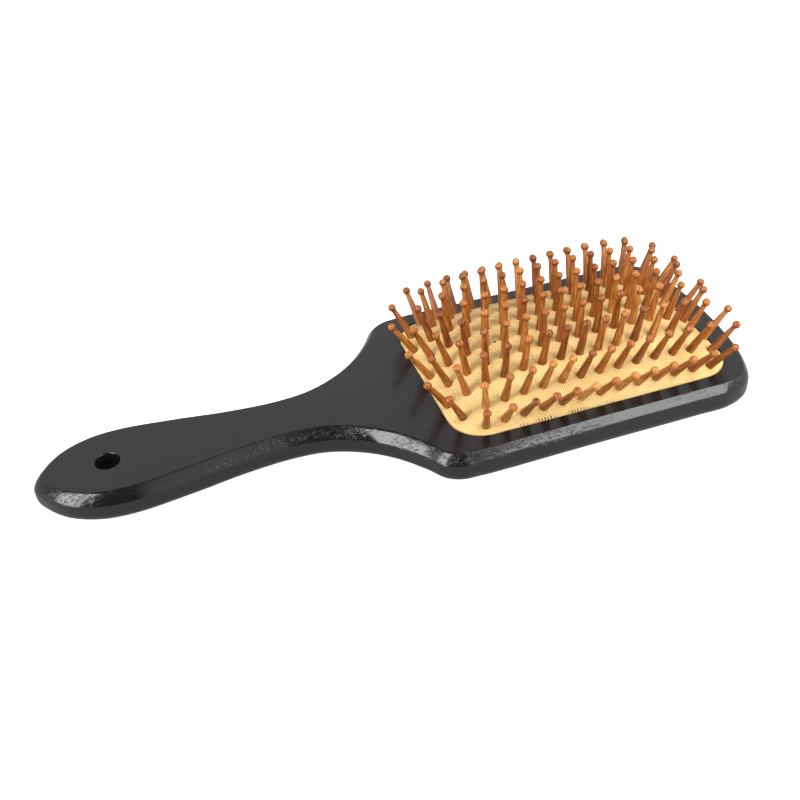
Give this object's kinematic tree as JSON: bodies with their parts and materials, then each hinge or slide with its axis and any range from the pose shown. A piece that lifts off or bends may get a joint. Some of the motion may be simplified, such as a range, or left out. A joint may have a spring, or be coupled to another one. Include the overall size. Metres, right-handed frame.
{
  "type": "paddle hair brush",
  "caption": "Flat wooden paddle hair brush: black lacquered board and handle with hanging hole, domed cream air cushion, ball-tipped turned wooden pins.",
  "frame": {"origin": "centre of the brush's footprint, on the flat back of the board", "axes": "+X from the handle towards the head, +Y to the left seen from the pins with the head pointing away, +Z out of the board through the cushion and pins"},
  "size_m": [0.2508, 0.0898, 0.0363],
  "materials": {
    "lacquered_wood": "black satin lacquer over open-grained wood",
    "cushion_rubber": "matt natural rubber",
    "cushion_fabric": "cream plain-woven facing",
    "pin_wood": "oiled reddish-brown turned wood"
  },
  "bodies": {
    "paddle": {"paddle_body": "lacquered_wood"},
    "cushion": {"cushion_sheet": "cushion_rubber", "cushion_facing": "cushion_fabric"},
    "pin_row_1": {"pins_row1_1": "pin_wood", "pins_row1_2": "pin_wood", "pins_row1_3": "pin_wood", "pins_row1_4": "pin_wood", "pins_row1_5": "pin_wood"},
    "pin_row_2": {"pins_row2_1": "pin_wood", "pins_row2_2": "pin_wood", "pins_row2_3": "pin_wood", "pins_row2_4": "pin_wood", "pins_row2_5": "pin_wood"},
    "pin_row_3": {"pins_row3_1": "pin_wood", "pins_row3_2": "pin_wood", "pins_row3_3": "pin_wood", "pins_row3_4": "pin_wood", "pins_row3_5": "pin_wood"},
    "pin_row_4": {"pins_row4_1": "pin_wood", "pins_row4_2": "pin_wood", "pins_row4_3": "pin_wood", "pins_row4_4": "pin_wood", "pins_row4_5": "pin_wood"},
    "pin_row_5": {"pins_row5_1": "pin_wood", "pins_row5_2": "pin_wood", "pins_row5_3": "pin_wood", "pins_row5_4": "pin_wood", "pins_row5_5": "pin_wood"},
    "pin_row_6": {"pins_row6_1": "pin_wood", "pins_row6_2": "pin_wood", "pins_row6_3": "pin_wood", "pins_row6_4": "pin_wood", "pins_row6_5": "pin_wood"},
    "pin_row_7": {"pins_row7_1": "pin_wood", "pins_row7_2": "pin_wood", "pins_row7_3": "pin_wood", "pins_row7_4": "pin_wood", "pins_row7_5": "pin_wood"},
    "pin_row_8": {"pins_row8_1": "pin_wood", "pins_row8_2": "pin_wood", "pins_row8_3": "pin_wood", "pins_row8_4": "pin_wood", "pins_row8_5": "pin_wood"},
    "pin_row_9": {"pins_row9_1": "pin_wood", "pins_row9_2": "pin_wood", "pins_row9_3": "pin_wood", "pins_row9_4": "pin_wood", "pins_row9_5": "pin_wood"}
  },
  "joints": [
    {"name": "cushion_press", "type": "slide", "parent": "paddle", "child": "cushion", "axis": [0, 0, -1], "range_m": [0, 0.0025], "stiffness_N_per_m": 4000, "deforming": ["cushion_sheet", "cushion_facing"]},
    {"name": "pin_row_1_rock", "type": "hinge", "parent": "cushion", "child": "pin_row_1", "pos_m": [0.0632, -0.03109, 0.01079], "axis": [1, 0, 0], "range_deg": [-8, 8], "stiffness_Nm_per_rad": 0.25},
    {"name": "pin_row_2_rock", "type": "hinge", "parent": "cushion", "child": "pin_row_2", "pos_m": [0.0632, -0.02514, 0.01358], "axis": [1, 0, 0], "range_deg": [-8, 8], "stiffness_Nm_per_rad": 0.25},
    {"name": "pin_row_3_rock", "type": "hinge", "parent": "cushion", "child": "pin_row_3", "pos_m": [0.0632, -0.01711, 0.01532], "axis": [1, 0, 0], "range_deg": [-8, 8], "stiffness_Nm_per_rad": 0.25},
    {"name": "pin_row_4_rock", "type": "hinge", "parent": "cushion", "child": "pin_row_4", "pos_m": [0.0632, -0.00894, 0.01653], "axis": [1, 0, 0], "range_deg": [-8, 8], "stiffness_Nm_per_rad": 0.25},
    {"name": "pin_row_5_rock", "type": "hinge", "parent": "cushion", "child": "pin_row_5", "pos_m": [0.0632, 0, 0.01612], "axis": [1, 0, 0], "range_deg": [-8, 8], "stiffness_Nm_per_rad": 0.25},
    {"name": "pin_row_6_rock", "type": "hinge", "parent": "cushion", "child": "pin_row_6", "pos_m": [0.0632, 0.00894, 0.01653], "axis": [1, 0, 0], "range_deg": [-8, 8], "stiffness_Nm_per_rad": 0.25},
    {"name": "pin_row_7_rock", "type": "hinge", "parent": "cushion", "child": "pin_row_7", "pos_m": [0.0632, 0.01711, 0.01532], "axis": [1, 0, 0], "range_deg": [-8, 8], "stiffness_Nm_per_rad": 0.25},
    {"name": "pin_row_8_rock", "type": "hinge", "parent": "cushion", "child": "pin_row_8", "pos_m": [0.0632, 0.02514, 0.01358], "axis": [1, 0, 0], "range_deg": [-8, 8], "stiffness_Nm_per_rad": 0.25},
    {"name": "pin_row_9_rock", "type": "hinge", "parent": "cushion", "child": "pin_row_9", "pos_m": [0.0632, 0.03109, 0.01079], "axis": [1, 0, 0], "range_deg": [-8, 8], "stiffness_Nm_per_rad": 0.25}
  ]
}
